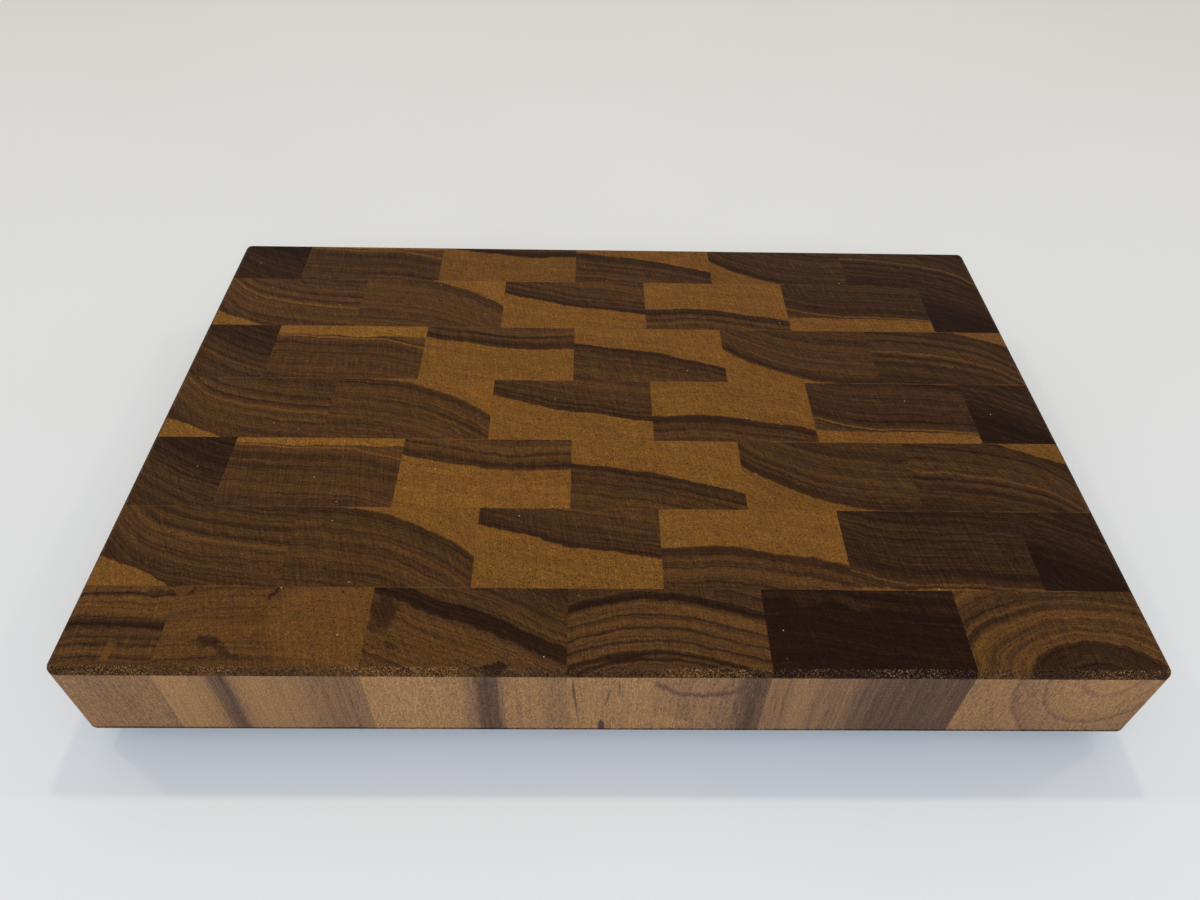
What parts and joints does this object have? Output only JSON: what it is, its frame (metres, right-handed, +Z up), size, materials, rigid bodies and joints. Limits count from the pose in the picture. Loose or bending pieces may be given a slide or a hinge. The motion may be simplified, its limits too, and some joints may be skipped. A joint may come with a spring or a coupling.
{
  "type": "cutting board",
  "caption": "Thick end-grain walnut cutting board of staggered glued blocks, with rounded edges, raised on screwed rubber feet.",
  "frame": {"origin": "on the surface that the feet stand on, under the middle of the board", "axes": "+X along the length, +Y from the front to the back, +Z up through the work face"},
  "size_m": [0.4572, 0.3048, 0.0608],
  "materials": {
    "walnut_dark": "oiled end grain, satin",
    "walnut_mid": "oiled end grain, satin",
    "walnut_tan": "oiled end grain, satin",
    "foot_rubber": "moulded, matte",
    "washer_steel": "stamped, satin",
    "screw_steel": "stainless, satin"
  },
  "bodies": {
    "root": {"row1_block1": "walnut_mid", "row1_block2": "walnut_tan", "row1_block3": "walnut_dark", "row1_block4": "walnut_tan", "row1_block5": "walnut_dark", "row1_block6": "walnut_tan", "row2_block1": "walnut_mid", "row2_block2": "walnut_mid", "row2_block3": "walnut_mid", "row2_block4": "walnut_tan", "row2_block5": "walnut_dark", "row2_block6": "walnut_dark", "row3_block1": "walnut_dark", "row3_block2": "walnut_mid", "row3_block3": "walnut_tan", "row3_block4": "walnut_mid", "row3_block5": "walnut_mid", "row3_block6": "walnut_mid", "row4_block1": "walnut_mid", "row4_block2": "walnut_mid", "row4_block3": "walnut_mid", "row4_block4": "walnut_tan", "row4_block5": "walnut_dark", "row4_block6": "walnut_dark", "row5_block1": "walnut_dark", "row5_block2": "walnut_mid", "row5_block3": "walnut_tan", "row5_block4": "walnut_mid", "row5_block5": "walnut_mid", "row5_block6": "walnut_mid", "row6_block1": "walnut_mid", "row6_block2": "walnut_mid", "row6_block3": "walnut_mid", "row6_block4": "walnut_tan", "row6_block5": "walnut_dark", "row6_block6": "walnut_dark", "row7_block1": "walnut_dark", "row7_block2": "walnut_mid", "row7_block3": "walnut_tan", "row7_block4": "walnut_mid", "row7_block5": "walnut_mid", "row7_block6": "walnut_mid", "foot_front_left": "foot_rubber", "washer_front_left": "washer_steel", "screw_front_left": "screw_steel", "foot_front_right": "foot_rubber", "washer_front_right": "washer_steel", "screw_front_right": "screw_steel", "foot_back_left": "foot_rubber", "washer_back_left": "washer_steel", "screw_back_left": "screw_steel", "foot_back_right": "foot_rubber", "washer_back_right": "washer_steel", "screw_back_right": "screw_steel"}
  },
  "joints": []
}
